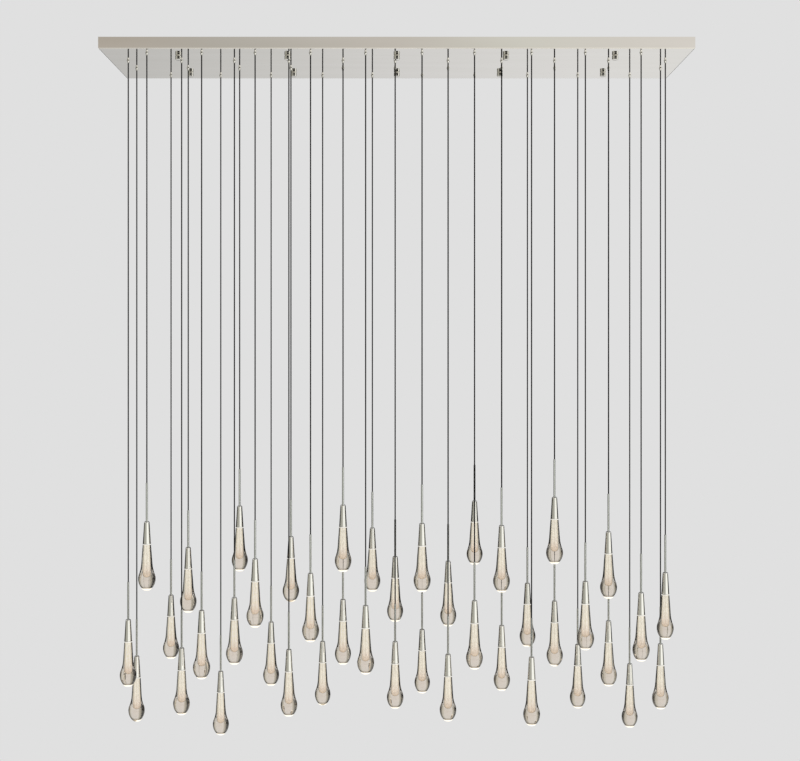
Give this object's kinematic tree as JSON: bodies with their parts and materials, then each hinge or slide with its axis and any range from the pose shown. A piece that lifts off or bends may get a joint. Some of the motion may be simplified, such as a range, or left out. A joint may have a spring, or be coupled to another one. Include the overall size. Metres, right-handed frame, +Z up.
{
  "type": "linear chandelier",
  "caption": "Long rectangular polished canopy that carries rows of lit solid glass teardrops on thin cords, hung at mixed heights.",
  "frame": {"origin": "centre of the ceiling screw pattern, on the ceiling plane in the middle of the canopy; everything hangs below it", "axes": "+X along the canopy to the viewer's right, +Y across the canopy away from the viewer, +Z up to the ceiling"},
  "size_m": [1.829, 0.457, 2.244],
  "materials": {
    "polished_nickel": "mirror polished nickel plate",
    "galvanised_steel": "zinc coated sheet",
    "zinc_plate": "zinc plated fasteners",
    "cord_sheath": "satin black round cord",
    "lead_sheath": "matt sheath",
    "rubber": "matt black",
    "driver_case": "moulded white",
    "terminal_nylon": "moulded natural nylon",
    "brass": "bright",
    "lamp_aluminium": "bright turned",
    "seeded_glass": "glass full of fine bubbles, lit warm white",
    "clear_glass": "fire-polished clear glass"
  },
  "bodies": {
    "canopy": {"canopy_pan": "polished_nickel", "cord_grips": "polished_nickel", "grip_lock_nuts": "zinc_plate", "cord_tails": "cord_sheath", "rail_front": "galvanised_steel", "rail_rear": "galvanised_steel", "crossbar_left": "galvanised_steel", "crossbar_right": "galvanised_steel", "centre_plate": "galvanised_steel", "canopy_studs": "zinc_plate", "stud_lock_nuts": "zinc_plate", "frame_screws": "zinc_plate", "wire_grommet": "rubber", "driver_left": "driver_case", "driver_right": "driver_case", "terminal_strip_front": "terminal_nylon", "terminal_strip_rear": "terminal_nylon", "mains_block": "terminal_nylon", "earth_terminal": "brass", "equipment_nuts": "zinc_plate", "mains_leads": "lead_sheath", "low_voltage_leads": "lead_sheath"},
    "row_1": {"cords_row_1": "cord_sheath", "stems_row_1": "polished_nickel", "caps_row_1": "polished_nickel", "led_modules_row_1": "lamp_aluminium", "bubble_cores_row_1": "seeded_glass", "glass_drops_row_1": "clear_glass"},
    "row_2": {"cords_row_2": "cord_sheath", "stems_row_2": "polished_nickel", "caps_row_2": "polished_nickel", "led_modules_row_2": "lamp_aluminium", "bubble_cores_row_2": "seeded_glass", "glass_drops_row_2": "clear_glass"},
    "row_3": {"cords_row_3": "cord_sheath", "stems_row_3": "polished_nickel", "caps_row_3": "polished_nickel", "led_modules_row_3": "lamp_aluminium", "bubble_cores_row_3": "seeded_glass", "glass_drops_row_3": "clear_glass"},
    "row_4": {"cords_row_4": "cord_sheath", "stems_row_4": "polished_nickel", "caps_row_4": "polished_nickel", "led_modules_row_4": "lamp_aluminium", "bubble_cores_row_4": "seeded_glass", "glass_drops_row_4": "clear_glass"},
    "canopy_nut_front_1": {"canopy_nut_front_1": "polished_nickel"},
    "canopy_nut_front_2": {"canopy_nut_front_2": "polished_nickel"},
    "canopy_nut_front_3": {"canopy_nut_front_3": "polished_nickel"},
    "canopy_nut_front_4": {"canopy_nut_front_4": "polished_nickel"},
    "canopy_nut_front_5": {"canopy_nut_front_5": "polished_nickel"},
    "canopy_nut_rear_1": {"canopy_nut_rear_1": "polished_nickel"},
    "canopy_nut_rear_2": {"canopy_nut_rear_2": "polished_nickel"},
    "canopy_nut_rear_3": {"canopy_nut_rear_3": "polished_nickel"},
    "canopy_nut_rear_4": {"canopy_nut_rear_4": "polished_nickel"},
    "canopy_nut_rear_5": {"canopy_nut_rear_5": "polished_nickel"}
  },
  "joints": [
    {"name": "row_1_sway", "type": "hinge", "parent": "canopy", "child": "row_1", "pos_m": [0, -0.171, -0.0425], "axis": [1, 0, 0], "range_deg": [-2, 2]},
    {"name": "row_2_sway", "type": "hinge", "parent": "canopy", "child": "row_2", "pos_m": [0, -0.057, -0.0425], "axis": [1, 0, 0], "range_deg": [-2, 2]},
    {"name": "row_3_sway", "type": "hinge", "parent": "canopy", "child": "row_3", "pos_m": [0, 0.057, -0.0425], "axis": [1, 0, 0], "range_deg": [-2, 2]},
    {"name": "row_4_sway", "type": "hinge", "parent": "canopy", "child": "row_4", "pos_m": [0, 0.171, -0.0425], "axis": [1, 0, 0], "range_deg": [-2, 2]},
    {"name": "canopy_nut_front_1_turn", "type": "hinge", "parent": "canopy", "child": "canopy_nut_front_1", "pos_m": [-0.684, -0.13, -0.043], "axis": [0, 0, 1], "continuous": true},
    {"name": "canopy_nut_front_2_turn", "type": "hinge", "parent": "canopy", "child": "canopy_nut_front_2", "pos_m": [-0.342, -0.13, -0.043], "axis": [0, 0, 1], "continuous": true},
    {"name": "canopy_nut_front_3_turn", "type": "hinge", "parent": "canopy", "child": "canopy_nut_front_3", "pos_m": [0, -0.13, -0.043], "axis": [0, 0, 1], "continuous": true},
    {"name": "canopy_nut_front_4_turn", "type": "hinge", "parent": "canopy", "child": "canopy_nut_front_4", "pos_m": [0.342, -0.13, -0.043], "axis": [0, 0, 1], "continuous": true},
    {"name": "canopy_nut_front_5_turn", "type": "hinge", "parent": "canopy", "child": "canopy_nut_front_5", "pos_m": [0.684, -0.13, -0.043], "axis": [0, 0, 1], "continuous": true},
    {"name": "canopy_nut_rear_1_turn", "type": "hinge", "parent": "canopy", "child": "canopy_nut_rear_1", "pos_m": [-0.684, 0.13, -0.043], "axis": [0, 0, 1], "continuous": true},
    {"name": "canopy_nut_rear_2_turn", "type": "hinge", "parent": "canopy", "child": "canopy_nut_rear_2", "pos_m": [-0.342, 0.13, -0.043], "axis": [0, 0, 1], "continuous": true},
    {"name": "canopy_nut_rear_3_turn", "type": "hinge", "parent": "canopy", "child": "canopy_nut_rear_3", "pos_m": [0, 0.13, -0.043], "axis": [0, 0, 1], "continuous": true},
    {"name": "canopy_nut_rear_4_turn", "type": "hinge", "parent": "canopy", "child": "canopy_nut_rear_4", "pos_m": [0.342, 0.13, -0.043], "axis": [0, 0, 1], "continuous": true},
    {"name": "canopy_nut_rear_5_turn", "type": "hinge", "parent": "canopy", "child": "canopy_nut_rear_5", "pos_m": [0.684, 0.13, -0.043], "axis": [0, 0, 1], "continuous": true}
  ]
}
